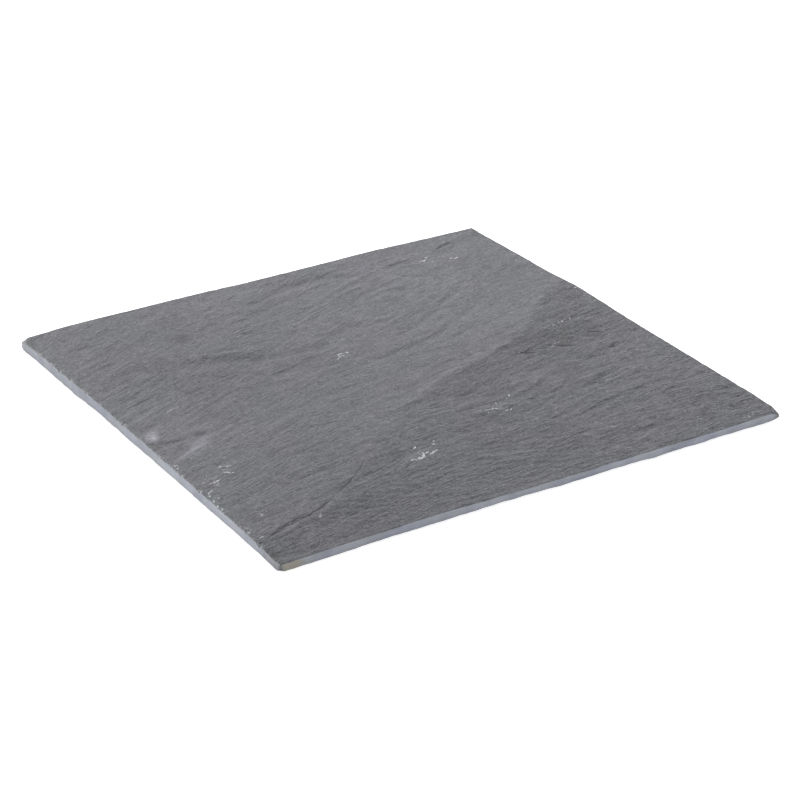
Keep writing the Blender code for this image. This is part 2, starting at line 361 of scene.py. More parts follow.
def grid_lines(half):
    inner = np.linspace(NEAR_EDGE[-1] - half, half - NEAR_EDGE[-1], INNER_CELLS + 1)
    near = np.array(NEAR_EDGE[:-1])
    return np.concatenate([near - half, inner, half - near[::-1]])


def packed_heights(node, xs, ys, half_x, half_y):
    """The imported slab's top and underside in mm, smoothed, without its arrises and chips."""
    mesh = node.data
    tree = BVHTree.FromPolygons([v.co for v in mesh.vertices], [p.vertices for p in mesh.polygons])
    top_level = max(v.co.z for v in mesh.vertices) + 0.01
    sample_x = np.linspace(-half_x, half_x, round(2 * half_x / SAMPLE_STEP) + 1)
    sample_y = np.linspace(-half_y, half_y, round(2 * half_y / SAMPLE_STEP) + 1)
    surfaces = []
    for start, way in ((top_level, -1.0), (-0.01, 1.0)):
        heights = np.zeros((len(sample_x), len(sample_y)))
        for i, x in enumerate(np.clip(sample_x, SAMPLE_INSET - half_x, half_x - SAMPLE_INSET)):
            for j, y in enumerate(np.clip(sample_y, SAMPLE_INSET - half_y, half_y - SAMPLE_INSET)):
                hit = tree.ray_cast(Vector((x * MM, y * MM, start)), Vector((0.0, 0.0, way)))
                heights[i, j] = hit[0].z / MM
        clear = math.ceil(CORNER_CLEAR / SAMPLE_STEP)
        for side_x in (0, 1):
            for side_y in (0, 1):
                view = heights[:: 1 - 2 * side_x, :: 1 - 2 * side_y]
                edge_x = view[clear, : clear + 1]
                edge_y = view[: clear + 1, clear]
                view[:clear, :clear] = (
                    edge_x[None, :clear] + edge_y[:clear, None] - view[clear, clear]
                )
        heights = blur(heights, SAMPLE_BLUR)
        rows = np.array([np.interp(ys, sample_y, row) for row in heights])
        surfaces.append(np.array([np.interp(xs, sample_x, column) for column in rows.T]).T)
    return surfaces


def grain_lines(x, y):
    """Where a point lies along and across the grain of the slate, in mm."""
    bend = 5.0 * noise(x / 90.0, y / 70.0, 11) + 1.6 * noise(x / 28.0, y / 20.0, 12)
    across = (y - GRAIN_TILT * x) / (1.0 + GRAIN_FAN * x) + bend
    along = x + GRAIN_TILT * y + 4.0 * noise(x / 50.0, y / 50.0, 13)
    return along, across


def scaly(along, across, length, width, seed):
    """Overlapping scales of thin layers, long along the grain, with a steep front side."""
    skewed = across + 0.22 * width * noise(along / length, across / width, seed + 50)
    scales = layered_noise(along / length, skewed / width, seed, layers=2)
    return scales - 0.45 * np.abs(scales)


def riven_relief(x, y, along, across, roughness):
    """The small relief of a split face, in mm. Roughness is 0 on smooth stone and 1 on rough."""
    swell = 0.18 * noise(x / 75.0, y / 50.0, 21) + 0.30 * noise(along / 48.0, across / 15.0, 22)
    strength = SMOOTH_STRENGTH + (1.0 - SMOOTH_STRENGTH) * roughness
    ripples = 0.0
    for kind in RIPPLES:
        ripples = ripples + kind.height * scaly(along, across, kind.length, kind.width, kind.seed)
    layers = across / TERRACE_SPACING + 0.55 * noise(along / 60.0, across / 22.0, 41)
    fading = smoothstep(0.5 + 1.6 * noise(along / 55.0, across / 16.0, 42))
    terraces = TERRACE_HEIGHT * fading * sawtooth(-layers, TERRACE_FALL)
    waves, calm = wave_relief(x, y)
    return swell + strength * (ripples + terraces) * (1.0 - WAVES_CALM * calm) + waves


def swirl_relief(x, y):
    long_way, wide_way = turned(x - SWIRL_X, y - SWIRL_Y, SWIRL_TURN)
    warp = 0.10 * noise(x / 34.0, y / 26.0, 51)
    radius = np.hypot(long_way / SWIRL_HALF_LONG, wide_way / SWIRL_HALF_WIDE) + warp
    inside = 1.0 - smoothstep((radius - 0.75) / 0.5)
    fading = 0.45 + 0.55 * smoothstep(0.5 + 1.4 * noise(x / 30.0, y / 22.0, 52))
    rings = sawtooth(-radius * SWIRL_HALF_WIDE / SWIRL_RING, SWIRL_FALL)
    return SWIRL_HEIGHT * inside * fading * rings


def wave_relief(x, y):
    """The height of the small waves, and how far they take the place of the ripples."""
    total = np.zeros_like(x)
    calm = np.zeros_like(x)
    fading = 0.75 + 0.5 * noise(x / 15.0, y / 9.0, 55)
    for waves in WAVES:
        away = np.hypot((x - waves.x) / waves.half_long, (y - waves.y) / waves.half_wide)
        share = np.exp(-((away + 0.15 * noise(x / 12.0, y / 12.0, 54)) ** 4))
        long_way, wide_way = turned(x - waves.x, y - waves.y, waves.turn)
        bend = 2.4 * noise(long_way / 16.0, wide_way / 14.0, 56)
        bend += 0.9 * noise(x / 7.0, y / 6.0, 57)
        total += share * sawtooth(-(wide_way + bend) / waves.spacing, WAVE_FALL)
        calm = np.maximum(calm, share)
    return WAVE_HEIGHT * fading * total, calm


def fold_relief(x, y):
    total = np.zeros_like(x)
    wobble = 0.9 * noise(x / 14.0, y / 10.0, 61)
    fading = 0.9 + 0.35 * noise(x / 9.0, y / 9.0, 62)
    for fold in FOLDS:
        away = distance_to_line(x, y + 0.5 * fold.half_width + wobble, fold.points)
        total += fold.height * fading * np.exp(-((away / fold.half_width) ** 2))
    return total


def layer_edge_relief(offset):
    """A thin lip behind the edge of the upper layer, and the step down before it."""
    step = LAYER_STEP * smoothstep((offset + 5.0) / 8.5)
    fade = np.exp(-(np.maximum(offset, 0.0) / 30.0) ** 2)
    lip = LAYER_LIP * np.exp(-(((offset - 1.5) / 2.6) ** 2))
    return step * fade + lip


def nearest_crack(x, y, lines):
    """Signed distance behind the nearest line in mm, its half width there, and its number."""
    wobble = 0.55 * noise(x / 3.5, y / 3.5, 71) + 0.5 * noise(x / 9.0, y / 9.0, 72)
    offset = np.full(x.shape, 9.0)
    width = np.zeros_like(x)
    for line in lines:
        points = line.points
        behind = offset_from_line(x, y + wobble, points)
        length = points[-1][0] - points[0][0]
        share = (x - points[0][0]) / length
        reach = smoothstep(np.minimum(share, 1.0 - share) * length / min(4.0, length / 2.5))
        closer = (np.abs(behind) < np.abs(offset)) & (reach > 0.0)
        offset = np.where(closer, behind, offset)
        fading = np.clip(1.4 - np.abs(behind) / 4.0, 0.0, 1.0)
        width = np.where(closer, line.half_width * reach * fading, width)
    return np.clip(offset, -9.0, 9.0), width


def crack_relief(x, y):
    total = np.zeros_like(x)
    for crack in CRACKS:
        behind = offset_from_line(x, y, crack.points)
        length = crack.points[-1][0] - crack.points[0][0]
        share = (x - crack.points[0][0]) / length
        reach = smoothstep(np.minimum(share, 1.0 - share) * length / min(5.0, length / 2.2))
        groove = np.exp(-((behind / (crack.half_width + 0.7)) ** 2))
        lip = np.exp(-(((behind + 2.2) / 1.3) ** 2))
        total += crack.depth * reach * (0.35 * lip - groove)
    return total


def speckled_field(x, y):
    """How thickly quartz specks lie."""
    total = np.zeros_like(x)
    for zone_x, zone_y, half_long, half_wide in SPECKLED:
        long_way, wide_way = turned(x - zone_x, y - zone_y, 15.0)
        away = np.hypot(long_way / half_long, wide_way / half_wide)
        total = np.maximum(total, np.exp(-(away**2)))
    return total


def fleck_field(x, y):
    """1 at the heart of a white fleck, falling away round it."""
    total = np.zeros_like(x)
    for fleck_x, fleck_y, half_length in FLECKS:
        long_way, wide_way = turned(x - fleck_x, y - fleck_y, 12.0 + 37.0 * math.sin(fleck_x))
        half_width = 0.30 * half_length + 0.45
        away = np.hypot(long_way / (1.25 * half_length + 0.5), wide_way / half_width)
        total = np.maximum(total, np.exp(-(away**2)))
    return total


def patch_fields(x, y):
    light = np.zeros_like(x)
    warm = np.zeros_like(x)
    ragged = 0.30 * layered_noise(x / 12.0, y / 7.0, 81)
    ragged += 0.16 * layered_noise(x / 3.2, y / 2.6, 85)
    for patch in PATCHES:
        long_way, wide_way = turned(x - patch.x, y - patch.y, patch.turn)
        away = np.hypot(long_way / patch.half_x, wide_way / patch.half_y) + ragged
        share = np.exp(-np.clip(away, 0.0, None) ** 2.4)
        light += patch.light * share
        warm += patch.warm * share
    return light, warm


def painted_shelf_shade(x, offset):
    """Painted shade on the stone in front of the upper layer's edge, clearest where the edge is
    highest.
    """
    dark = 1.0 - smoothstep((offset + 2.6) / 3.6)
    return SHELF_SHADE * dark * np.exp(-((offset / 24.0) ** 2)) * smoothstep((x - 45.0) / 45.0)


def chip_level(x, y, chip, half_x, half_y, face):
    """Height of the break's plane at each point, from three points on the face near the corner."""
    corner_x = chip.side_x * half_x
    corner_y = chip.side_y * half_y
    from_corner_x = (corner_x - x) * chip.side_x
    from_corner_y = (corner_y - y) * chip.side_y
    share = 1.0 - from_corner_x / chip.along_x - from_corner_y / chip.along_y
    rough = CHIP_ROUGHNESS * layered_noise(x / 2.6, y / 3.1, 91)
    return face - chip.depth * share + rough, share


def arris_wear(run, ragged, seed):
    """How far an arris is worn back along its run, in mm."""
    fine = 0.10 + 0.04 * noise(run / 3.0, 0.0 * run, seed)
    small = np.clip(noise(run / 2.6, 0.0 * run + 0.3, seed + 4), 0.0, None)
    bites = np.clip(layered_noise(run / 6.5, 0.0 * run + 0.5, seed + 1, layers=3) - 0.18, 0.0, None)
    return fine + ragged * (0.45 * small + 0.9 * bites)


def round_corners(x, y, half_x, half_y):
    """Moves points near a corner of the outline onto a rounded one."""
    radius = CORNER_RADIUS
    share_x = np.clip((np.abs(x) - half_x + radius) / radius, 0.0, 1.0)
    share_y = np.clip((np.abs(y) - half_y + radius) / radius, 0.0, 1.0)
    moved_x = share_x * np.sqrt(1.0 - share_y**2 / 2.0) - share_x
    moved_y = share_y * np.sqrt(1.0 - share_x**2 / 2.0) - share_y
    return x + np.sign(x) * radius * moved_x, y + np.sign(y) * radius * moved_y


def seat_share(x, y):
    """0 on the flat seats over the pads, and 1 on the riven stone between them."""
    share = np.ones_like(x)
    for name in PADS:
        low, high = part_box(name)
        centre = (low + high) / 2 / MM
        flat = (high.x - low.x) / 2 / MM + 1.5
        share = np.minimum(share, smoothstep((np.hypot(x - centre.x, y - centre.y) - flat) / 6.0))
    return share


def edge_wear(x, y, half_x, half_y):
    """Wear of the nearest arris and how far away that arris is, in mm."""
    away = {
        "left": x + half_x,
        "right": half_x - x,
        "front": y + half_y,
        "back": half_y - y,
    }
    run = {"left": y, "right": y, "front": x, "back": x}
    nearest = np.full(x.shape, np.inf)
    drop = np.zeros_like(x)
    for number, side in enumerate(away):
        wear = arris_wear(run[side] + 200.0, EDGE_RAGGED[side], 100 + 7 * number)
        reach = 1.7 * wear + 0.12
        side_drop = wear * np.clip(1.0 - away[side] / reach, 0.0, 1.0)
        drop = np.maximum(drop, side_drop)
        nearest = np.minimum(nearest, away[side])
    return drop, nearest


def high_parts(height, spread):
    """Which points stand above the stone round them, on a scale of about -1 to 1."""
    proud = height - blur(height, spread)
    return np.clip(proud / (2.5 * proud.std()), -1.0, 1.0)


def top_surface(x, y, level, half_x, half_y):
    along, across = grain_lines(x, y)
    offset = offset_from_line(x, y, LAYER_EDGE) + 0.9 * noise(x / 13.0, y / 13.0, 14)
    rough_side = 1.0 - smoothstep((offset + 7.0) / 14.0)
    relief = riven_relief(x, y, along, across, rough_side)
    relief += swirl_relief(x, y)
    relief += fold_relief(x, y)
    relief += layer_edge_relief(offset) * smoothstep((x + 40.0) / 60.0)
    relief += crack_relief(x, y)
    drop, from_edge = edge_wear(x, y, half_x, half_y)
    height = level + relief * (0.5 + 0.5 * smoothstep(from_edge / 8.0))
    crest = high_parts(relief, 3.0)
    broken = np.zeros_like(x)
    for chip in TOP_CHIPS:
        cut, share = chip_level(x, y, chip, half_x, half_y, level)
        height = np.minimum(height, cut)
        broken = np.maximum(broken, smoothstep(share / 0.08))
    broken = np.maximum(broken, smoothstep((drop - 0.1) / 0.12))
    crack_offset, crack_width = nearest_crack(x, y, CRACKS)
    vein_offset, vein_width = nearest_crack(x, y, VEINS)
    light, warm = patch_fields(x, y)
    # Painted shade before the layer's edge, added to the patches' tone
    light += painted_shelf_shade(x, offset)
    looks = {
        "grain_along": along,
        "grain_across": across,
        "rough_side": rough_side,
        "crest": crest,
        "broken": broken,
        "crack_offset": crack_offset,
        "crack_width": crack_width,
        "vein_offset": vein_offset,
        "vein_width": vein_width,
        "fleck": fleck_field(x, y),
        "speckled": speckled_field(x, y),
        "tone_and_painted_shade": light,
        "warm_patch": warm,
    }
    return height - drop, looks


def under_surface(x, y, level, half_x, half_y):
    along, across = grain_lines(x + UNDER_SHIFT, -y)
    share = seat_share(x, y)
    rough = np.full(x.shape, UNDER_ROUGHNESS)
    offset = offset_from_line(x, y, UNDER_LAYER_EDGE) + 2.2 * noise(x / 12.0, y / 12.0, 15)
    fade = np.exp(-((np.maximum(offset, 0.0) / 40.0) ** 2))
    step = UNDER_LAYER_STEP * smoothstep((offset + 1.4) / 2.8) * fade
    relief = (riven_relief(x + UNDER_SHIFT, -y, along, across, rough) + step) * share
    height = level + relief
    for chip in UNDER_CHIPS:
        cut = chip_level(x, y, chip, half_x, half_y, level)[0]
        height = np.maximum(height, 2.0 * level - cut)
    # Painted shade on the stone in front of the underside's layer edge
    shelf_shade = (1.0 - smoothstep((offset + 1.5) / 3.0)) * np.exp(-((offset / 22.0) ** 2))
    streaks = layered_noise(along / 45.0, across / 11.0, 95)
    looks = {
        "grain_along": along,
        "grain_across": across,
        "rough_side": rough,
        "crest": high_parts(relief, 2.0),
        "tone_and_painted_shade": UNDER_STREAK_TONE * streaks + UNDER_SHELF_SHADE * shelf_shade,
    }
    return height, looks


def ring_indices(count):
    """Grid places round the border, counter-clockwise from the front left corner."""
    last = count - 1
    front = [(i, 0) for i in range(last)]
    right = [(last, j) for j in range(last)]
    back = [(i, last) for i in range(last, 0, -1)]
    left = [(0, j) for j in range(last, 0, -1)]
    return np.array(front + right + back + left)


def stone_points(xs, ys, half_x, half_y, node):
    """Vertices of the top, the sawn faces' inner rows and the underside, with their looks."""
    levels = packed_heights(node, xs, ys, half_x, half_y)
    x, y = np.meshgrid(xs, ys, indexing="ij")
    top, top_looks = top_surface(x, y, levels[0], half_x, half_y)
    under, under_looks = under_surface(x, y, levels[1], half_x, half_y)
    ring = ring_indices(len(xs))
    ring_top = top[ring[:, 0], ring[:, 1]]
    ring_under = under[ring[:, 0], ring[:, 1]]
    round_x, round_y = round_corners(x, y, half_x, half_y)
    edge_x = round_x[ring[:, 0], ring[:, 1]]
    edge_y = round_y[ring[:, 0], ring[:, 1]]
    return {
        "x": round_x, "y": round_y, "top": top, "under": under, "ring": ring,
        "edge_x": edge_x, "edge_y": edge_y, "ring_top": ring_top, "ring_under": ring_under,
        "top_looks": top_looks, "under_looks": under_looks,
    }


def outward(edge_x, edge_y):
    """Unit vectors pointing out of the outline at each of its points."""
    step_x = np.roll(edge_x, -1) - np.roll(edge_x, 1)
    step_y = np.roll(edge_y, -1) - np.roll(edge_y, 1)
    length = np.hypot(step_x, step_y)
    return step_y / length, -step_x / length


def sawn_rows(stone, spacing):
    """Rows of points down the sawn faces. The last one is the border of the underside."""
    out_x, out_y = outward(stone["edge_x"], stone["edge_y"])
    total = len(stone["ring"])
    run = np.arange(total) * spacing
    points = []
    for share in SIDE_ROWS[1:]:
        z = stone["ring_top"] + (stone["ring_under"] - stone["ring_top"]) * share
        wave = SAWN_WAVE * noise(run / 25.0, 0.0 * run + share * 1.5, 96)
        push = wave - (FOOT_ARRIS if share == 1.0 else SAWN_INSET)
        points.append(
            np.stack([stone["edge_x"] + push * out_x, stone["edge_y"] + push * out_y, z], -1)
        )
    return points


def under_faces(kept, number, last):
    """The underside's faces, which take in every point of the border."""
    faces = []
    for i0, i1 in zip(kept, kept[1:]):
        for j0, j1 in zip(kept, kept[1:]):
            outline = [number[i0, j0]]
            outline += number[i0, j0 + 1 : j1].tolist() if i0 == 0 else []
            outline.append(number[i0, j1])
            outline += number[i0 + 1 : i1, j1].tolist() if j1 == last else []
            outline.append(number[i1, j1])
            outline += number[i1, j0 + 1 : j1][::-1].tolist() if i1 == last else []
            outline.append(number[i1, j0])
            outline += number[i0 + 1 : i1, j0][::-1].tolist() if j0 == 0 else []
            faces.append([int(point) for point in outline])
    return faces


def build_stone():
    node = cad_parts["slate_slab"]
    low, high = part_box("slate_slab")
    half_x = (high.x - low.x) / 2 / MM
    half_y = (high.y - low.y) / 2 / MM
    xs = grid_lines(half_x)
    ys = grid_lines(half_y)
    count = len(xs)
    stone = stone_points(xs, ys, half_x, half_y, node)
    ring = stone["ring"]

    top_number = np.arange(count * count).reshape(count, count)
    points = [np.stack([stone["x"], stone["y"], stone["top"]], -1).reshape(-1, 3)]
    rows = [top_number[ring[:, 0], ring[:, 1]]]
    next_number = count * count
    for row in sawn_rows(stone, 2 * half_x / (count - 1)):
        points.append(row)
        rows.append(next_number + np.arange(len(ring)))
        next_number += len(ring)

    # Inner points of the underside, on every third grid line
    kept = np.arange(0, count, UNDER_EVERY)
    inner = kept[1:-1]
    pick = np.ix_(inner, inner)
    under_number = np.full((count, count), -1)
    under_number[ring[:, 0], ring[:, 1]] = rows[-1]
    under_number[pick] = next_number + np.arange(inner.size**2).reshape(inner.size, inner.size)
    points.append(
        np.stack([stone["x"][pick], stone["y"][pick], stone["under"][pick]], -1).reshape(-1, 3)
    )

    a, b = top_number[:-1, :-1], top_number[1:, :-1]
    c, d = top_number[1:, 1:], top_number[:-1, 1:]
    faces = np.stack([a, b, c, d], -1).reshape(-1, 4).tolist()
    kinds = [TOP_FACE] * len(faces)
    for upper, lower in zip(rows, rows[1:]):
        quads = np.stack([upper, lower, np.roll(lower, -1), np.roll(upper, -1)], -1).tolist()
        faces += quads
        kinds += [SAWN_FACE] * len(quads)
    under = under_faces(kept, under_number, count - 1)
    faces += under
    kinds += [UNDER_FACE] * len(under)

    mesh = bpy.data.meshes.new("riven_stone")
    mesh.from_pydata((np.concatenate(points) * MM).tolist(), [], faces)
    mesh.polygons.foreach_set("use_smooth", np.ones(len(faces), bool))
    mesh.polygons.foreach_set("material_index", (np.array(kinds) == SAWN_FACE).astype(int))
    mesh.update()
    add_looks(mesh, stone, rows, under_number, pick)
    add_bake_map(mesh, kinds, half_x, half_y)
    mark_arrises(mesh, rows)
    slab = bpy.data.objects.new("riven_slab", mesh)
    bpy.context.scene.collection.objects.link(slab)
    return slab


def add_looks(mesh, stone, rows, under_number, pick):
    """Keeps what the materials need to know about each point as named numbers on the mesh."""
    total = len(mesh.vertices)
    ring = stone["ring"]
    top_total = stone["top"].size
    inner_numbers = under_number[pick].reshape(-1)
    for name, top_values in stone["top_looks"].items():
        values = np.zeros(total)
        values[:top_total] = top_values.reshape(-1)
        ring_values = top_values[ring[:, 0], ring[:, 1]]
        under_values = stone["under_looks"].get(name)
        for row in rows[1:-1]:
            values[row] = ring_values
        if under_values is not None:
            values[rows[-1]] = under_values[ring[:, 0], ring[:, 1]]
            values[inner_numbers] = under_values[pick].reshape(-1)
        layer = mesh.attributes.new(name, "FLOAT", "POINT")
        layer.data.foreach_set("value", values.astype(np.float32))
    # How far down a sawn face each of its points lies
    down_face = np.zeros(total, np.float32)
    for row, share in zip(rows, SIDE_ROWS):
        down_face[row] = share
    mesh.attributes.new("down_face", "FLOAT", "POINT").data.foreach_set("value", down_face)
    # How worn the sawn face is: the arrises show broken stone, which fades out down the face
    broken = np.zeros(total, np.float32)
    mesh.attributes["broken"].data.foreach_get("value", broken)
    for row in rows[1:]:
        broken[row] = 0.0
    mesh.attributes["broken"].data.foreach_set("value", broken)


# The flat layout of the stone's faces, in shares of the whole
LAYOUT_MARGIN = 0.004
LAYOUT_TOP = 0.712  # side of the top's square
LAYOUT_UNDER = 0.26  # side of the underside's square
LAYOUT_UNDER_LEFT = 0.735
LAYOUT_STRIPS = 0.74  # where the strips for the sawn faces start
LAYOUT_STRIP_STEP = 0.045
LAYOUT_STRIP_HEIGHT = 0.004  # per mm of a sawn face


def add_bake_map(mesh, kinds, half_x, half_y):
    """A flat layout: the top large, the underside small beside it, the sawn faces as strips."""
    points = np.zeros(len(mesh.vertices) * 3)
    mesh.vertices.foreach_get("co", points)
    points = points.reshape(-1, 3) / MM
    loop_points = np.zeros(len(mesh.loops), int)
    mesh.loops.foreach_get("vertex_index", loop_points)
    starts = np.zeros(len(mesh.polygons), int)
    sizes = np.zeros(len(mesh.polygons), int)
    mesh.polygons.foreach_get("loop_start", starts)
    mesh.polygons.foreach_get("loop_total", sizes)
    kind = np.repeat(np.array(kinds), sizes)
    place = points[loop_points]
    across = (place[:, 0] + half_x) / (2 * half_x)
    deep = (place[:, 1] + half_y) / (2 * half_y)
    on_top = kind == TOP_FACE
    u = np.where(
        on_top, LAYOUT_MARGIN + LAYOUT_TOP * across, LAYOUT_UNDER_LEFT + LAYOUT_UNDER * across
    )
    v = LAYOUT_MARGIN + np.where(on_top, LAYOUT_TOP, LAYOUT_UNDER) * deep

    # The side of a sawn face comes from where the face's middle is
    side_loops = np.flatnonzero(kind == SAWN_FACE)
    middle = place[side_loops].reshape(-1, 4, 3).mean(1).repeat(4, 0)
    reach_x = middle[:, 0] / half_x
    reach_y = middle[:, 1] / half_y
    front_or_back = np.abs(reach_y) > np.abs(reach_x)
    strip = np.where(front_or_back, np.where(reach_y < 0, 0, 1), np.where(reach_x < 0, 2, 3))
    side_place = place[side_loops]
    lengthwise = np.where(front_or_back, across[side_loops], deep[side_loops])
    u[side_loops] = LAYOUT_MARGIN + LAYOUT_TOP * lengthwise
    v[side_loops] = (
        LAYOUT_STRIPS + LAYOUT_STRIP_STEP * strip + LAYOUT_STRIP_HEIGHT * side_place[:, 2]
    )
    layer = mesh.uv_layers.new(name="OFBake")
    layer.data.foreach_set("uv", np.stack([u, v], -1).reshape(-1))


def mark_arrises(mesh, rows):
    """Keeps the arrises crisp: smooth shading stops where a sawn face meets the riven ones."""
    sharp = set()
    for row in (rows[0], rows[-2]):
        ahead = np.roll(row, -1)
        sharp |= {(min(p, q), max(p, q)) for p, q in zip(row.tolist(), ahead.tolist())}
    layer = mesh.attributes.new("sharp_edge", "BOOLEAN", "EDGE")
    flags = [tuple(sorted(edge.vertices)) in sharp for edge in mesh.edges]
    layer.data.foreach_set("value", flags)


# ---- Pads ----------------------------------------------------------------------------------

PAD_TURNS = 96
PAD_RIM = 0.45  # mm, radius of the moulded rim
PAD_RINGS = 4  # grip grooves round the foot
RING_DEPTH = 0.12
RIM_STEPS = 6  # round a quarter turn of the rim
GLUE_INSET = 0.6  # mm from the pad's rim to the glue film's
GLUE_HEIGHT = 0.34  # it sinks a little into the riven seat
GLUE_BULGE_HEIGHT = 0.2


def turned_piece(name, profile, centre):
    """A closed turned solid. Its profile of (radius, height) points in mm runs from the top of
    the axis round to the bottom of it."""
    rings = profile[1:-1]
    points = [(0.0, 0.0, profile[0][1] * MM)]
    for radius, height in rings:
        for step in range(PAD_TURNS):
            turn = 2 * math.pi * step / PAD_TURNS
            points.append((radius * MM * math.cos(turn), radius * MM * math.sin(turn), height * MM))
    points.append((0.0, 0.0, profile[-1][1] * MM))
    foot = len(points) - 1
    last_ring = foot - PAD_TURNS
    faces = []
    for step in range(PAD_TURNS):
        ahead = (step + 1) % PAD_TURNS
        faces.append((0, 1 + step, 1 + ahead))
        for upper in range(1, last_ring, PAD_TURNS):
            lower = upper + PAD_TURNS
            faces.append((upper + step, lower + step, lower + ahead, upper + ahead))
        faces.append((last_ring + step, foot, last_ring + ahead))
    mesh = bpy.data.meshes.new(name)
    mesh.from_pydata(points, [], faces)
    mesh.polygons.foreach_set("use_smooth", np.ones(len(faces), bool))
    mesh.update()
    piece = bpy.data.objects.new(name, mesh)
    piece.location = centre
    bpy.context.scene.collection.objects.link(piece)
    return piece


def pad_profile(radius, thickness):
    points = [(0.0, thickness), (radius - PAD_RIM, thickness)]
    flat = radius - PAD_RIM
    for step in range(1, RIM_STEPS + 1):
        turn = math.radians(90 / RIM_STEPS * step)
        points.append(
            (flat + PAD_RIM * math.sin(turn), thickness - PAD_RIM * (1 - math.cos(turn)))
        )
    for step in range(RIM_STEPS + 1):
        turn = math.radians(90 / RIM_STEPS * step)
        points.append((flat + PAD_RIM * math.cos(turn), PAD_RIM * (1 - math.sin(turn))))
    spacing = (flat - 1.0) / PAD_RINGS
    for ring in range(PAD_RINGS):
        middle = flat - spacing * (ring + 0.5)
        for away, depth in ((0.5, 0.0), (0.3, RING_DEPTH), (-0.3, RING_DEPTH), (-0.5, 0.0)):
            points.append((middle + away, depth))
    points.append((0.0, 0.0))
    return points


def build_pads(rubber, glue):
    for name in PADS:
        low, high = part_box(name)
        radius = (high.x - low.x) / 2 / MM
        thickness = (high.z - low.z) / MM
        centre = ((low.x + high.x) / 2, (low.y + high.y) / 2, low.z)
        profile = pad_profile(radius, thickness)
        pad = turned_piece(name.replace("pad", "rubber_pad"), profile, centre)
        pad.data.materials.append(rubber)
        film_radius = radius - GLUE_INSET
        film_profile = (
            (0.0, GLUE_HEIGHT), (film_radius - 0.15, GLUE_HEIGHT),
            (film_radius, GLUE_BULGE_HEIGHT), (film_radius - 0.1, 0.0), (0.0, 0.0),
        )
        on_pad = (centre[0], centre[1], high.z)
        film = turned_piece(name.replace("pad", "glue_film"), film_profile, on_pad)
        film.data.materials.append(glue)
        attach(pad, "root")
        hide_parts(name)
        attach(film, "root")


# ---- Materials -----------------------------------------------------------------------------


def add(tree, kind, inputs=None, **settings):
    """Adds a shader node. Inputs are values or the sockets that feed them, by name or number."""
    made = tree.nodes.new("ShaderNode" + kind)
    for key, value in settings.items():
        setattr(made, key, value)
    for key, value in (inputs or {}).items():
        if isinstance(value, bpy.types.NodeSocket):
            tree.links.new(value, made.inputs[key])
        else:
            made.inputs[key].default_value = value
    return made


def maths(tree, operation, *values, clamp=False):
    made = add(tree, "Math", dict(enumerate(values)), operation=operation, use_clamp=clamp)
    return made.outputs[0]


def ramp(tree, value, low, high, to_low=0.0, to_high=1.0):
    """Smoothly carries a value from low..high onto to_low..to_high."""
    made = add(
        tree, "MapRange", {0: value, 1: low, 2: high, 3: to_low, 4: to_high},
        interpolation_type="SMOOTHSTEP",
    )
    return made.outputs[0]


def blend(tree, share, first, second, mode="MIX"):
    """Mixes two colours."""
    made = add(tree, "Mix", {0: share, 6: first, 7: second}, data_type="RGBA", blend_type=mode)
    return made.outputs[2]


def stored(tree, name):
    """A number kept on the mesh under a name."""
    return add(tree, "Attribute", attribute_name=name).outputs["Fac"]


def soft_noise(tree, place, scale, detail, roughness):
    """Cloudy noise. "Fac" is its value, and "Color" holds that value and two others."""
    return add(
        tree, "TexNoise",
        {"Vector": place, "Scale": scale, "Detail": detail, "Roughness": roughness},
    ).outputs


def swing(tree, value):
    """Turns a value of 0 to 1 into one that swings either way round 0."""
    return maths(tree, "SUBTRACT", value, 0.5)


def add_share(tree, total, value, share):
    """Adds a share of a value to a total."""
    return maths(tree, "MULTIPLY_ADD", value, share, total)


def toned(tree, colour, tone):
    """A colour made lighter or darker. A tone of 1 leaves it alone."""
    grey = add(tree, "CombineColor", {0: tone, 1: tone, 2: tone}).outputs[0]
    return blend(tree, 1.0, colour, grey, "MULTIPLY")


def set_bump(tree, shader, height, distance):
    bump = add(tree, "Bump", {"Strength": 1.0, "Distance": distance * MM, "Height": height})
    tree.links.new(bump.outputs[0], shader.inputs["Normal"])


def new_group(name, inputs, outputs):
    """An empty node group with its sockets. Returns the tree, its input node and output node."""
    tree = bpy.data.node_groups.new(name, "ShaderNodeTree")
    for socket, kind, value in inputs:
        made = tree.interface.new_socket(socket, in_out="INPUT", socket_type="NodeSocket" + kind)
        if value is not None:
            made.default_value = value
    for socket, kind in outputs:
        tree.interface.new_socket(socket, in_out="OUTPUT", socket_type="NodeSocket" + kind)
    return tree, tree.nodes.new("NodeGroupInput"), tree.nodes.new("NodeGroupOutput")


def use_group(tree, group, inputs):
    made = tree.nodes.new("ShaderNodeGroup")
    made.node_tree = group
    for key, value in inputs.items():
        if isinstance(value, bpy.types.NodeSocket):
            tree.links.new(value, made.inputs[key])
        else:
            made.inputs[key].default_value = value
    return made.outputs


CRYSTAL_SHARE = 0.3  # of the grain that is crystals rather than soft cloud


